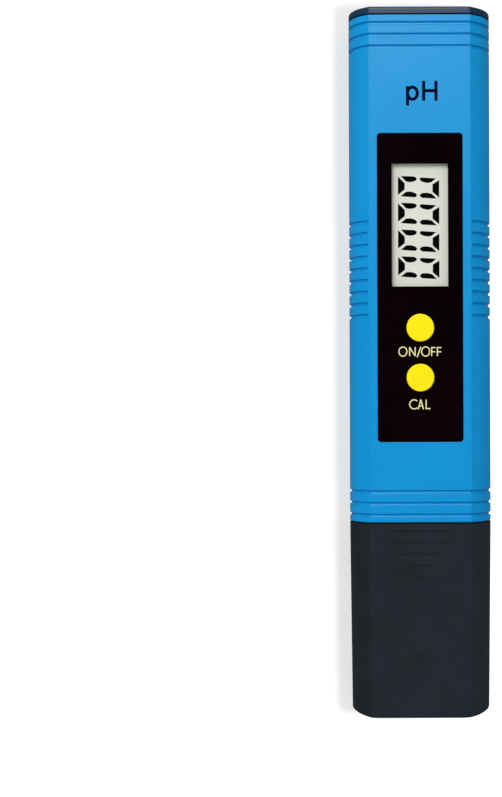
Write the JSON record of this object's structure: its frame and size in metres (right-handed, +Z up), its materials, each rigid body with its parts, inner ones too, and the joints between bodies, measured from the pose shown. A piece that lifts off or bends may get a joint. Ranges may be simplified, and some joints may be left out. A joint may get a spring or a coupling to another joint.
{
  "type": "pocket ph meter",
  "caption": "Flat faceted pen meter: blue shells, black panel with an upright display and round keys, plug-in battery cap, pull-off cap over the sensing tip.",
  "frame": {"origin": "centre of the closed end face of the electrode cap", "axes": "+Z up along the pen from the electrode cap to the battery cap, display face towards -Y, +X across the width"},
  "size_m": [0.0312, 0.0172, 0.155],
  "materials": {
    "blue_abs": "satin moulded ABS with a fine texture",
    "black_abs": "satin moulded ABS, near black",
    "panel_black": "smooth printed panel, low gloss",
    "yellow_key": "smooth bright yellow",
    "clear_window": "clear polycarbonate, polished",
    "lcd_glass": "thin display glass",
    "lcd_polariser": "grey-green polarising film",
    "lcd_back": "pale reflector foil",
    "white_plastic": "moulded frame",
    "zebra_rubber": "layered conductive elastomer",
    "pcb_green": "solder mask over glass-fibre board",
    "chip_black": "moulded epoxy with tinned legs",
    "steel": "zinc-plated steel",
    "stainless": "drawn stainless tube",
    "nickel": "nickel plate",
    "spring_bronze": "plated phosphor bronze strip",
    "silver": "drawn silver wire, chlorided at the tip",
    "sensor_glass": "thin blown glass",
    "ceramic": "porous ceramic",
    "epoxy": "cast dark epoxy",
    "seal_rubber": "soft moulded seal",
    "stopper_silicone": "translucent red silicone",
    "wire_jacket": "insulated lead",
    "sponge_foam": "open-cell sponge"
  },
  "bodies": {
    "housing": {"front_shell": "blue_abs", "rear_shell": "blue_abs", "panel_overlay": "panel_black", "display_window": "clear_window", "lcd_polarizer": "lcd_polariser", "lcd_front_glass": "lcd_glass", "lcd_rear_glass": "lcd_glass", "lcd_reflector": "lcd_back", "lcd_frame": "white_plastic", "zebra_strips": "zebra_rubber", "pcb": "pcb_green", "mcu_chip": "chip_black", "op_amp_chip": "chip_black", "crystal_can": "nickel", "chip_passives": "ceramic", "on_off_switch_base": "chip_black", "cal_switch_base": "chip_black", "switch_domes": "stainless", "battery_contact_left": "spring_bronze", "battery_contact_right": "spring_bronze", "shell_screws": "steel", "pcb_screws": "steel", "electrode_housing": "black_abs", "nose_seal": "seal_rubber", "glass_electrode": "sensor_glass", "silver_wire": "silver", "tube_stopper": "stopper_silicone", "reference_junction": "ceramic", "reference_wire": "silver", "temperature_probe": "stainless", "probe_leads": "wire_jacket", "potting_plug": "epoxy"},
    "electrode_cap": {"protective_cap": "black_abs", "cap_sponge": "sponge_foam"},
    "battery_drawer": {"battery_cap": "black_abs", "battery_cap_seal": "seal_rubber", "battery_tray": "black_abs", "cell_bridge": "nickel", "cell_left": "nickel", "cell_right": "nickel"},
    "on_off_key": {"on_off_button": "yellow_key", "on_off_switch_plunger": "black_abs"},
    "cal_key": {"cal_button": "yellow_key", "cal_switch_plunger": "black_abs"}
  },
  "joints": [
    {"name": "electrode_cap_pull", "type": "slide", "parent": "housing", "child": "electrode_cap", "axis": [0, 0, -1], "range_m": [0, 0.045]},
    {"name": "battery_cap_pull", "type": "slide", "parent": "housing", "child": "battery_drawer", "axis": [0, 0, 1], "range_m": [0, 0.028]},
    {"name": "on_off_press", "type": "slide", "parent": "housing", "child": "on_off_key", "axis": [0, 1, 0], "range_m": [0, 0.0003]},
    {"name": "cal_press", "type": "slide", "parent": "housing", "child": "cal_key", "axis": [0, 1, 0], "range_m": [0, 0.0003]}
  ]
}
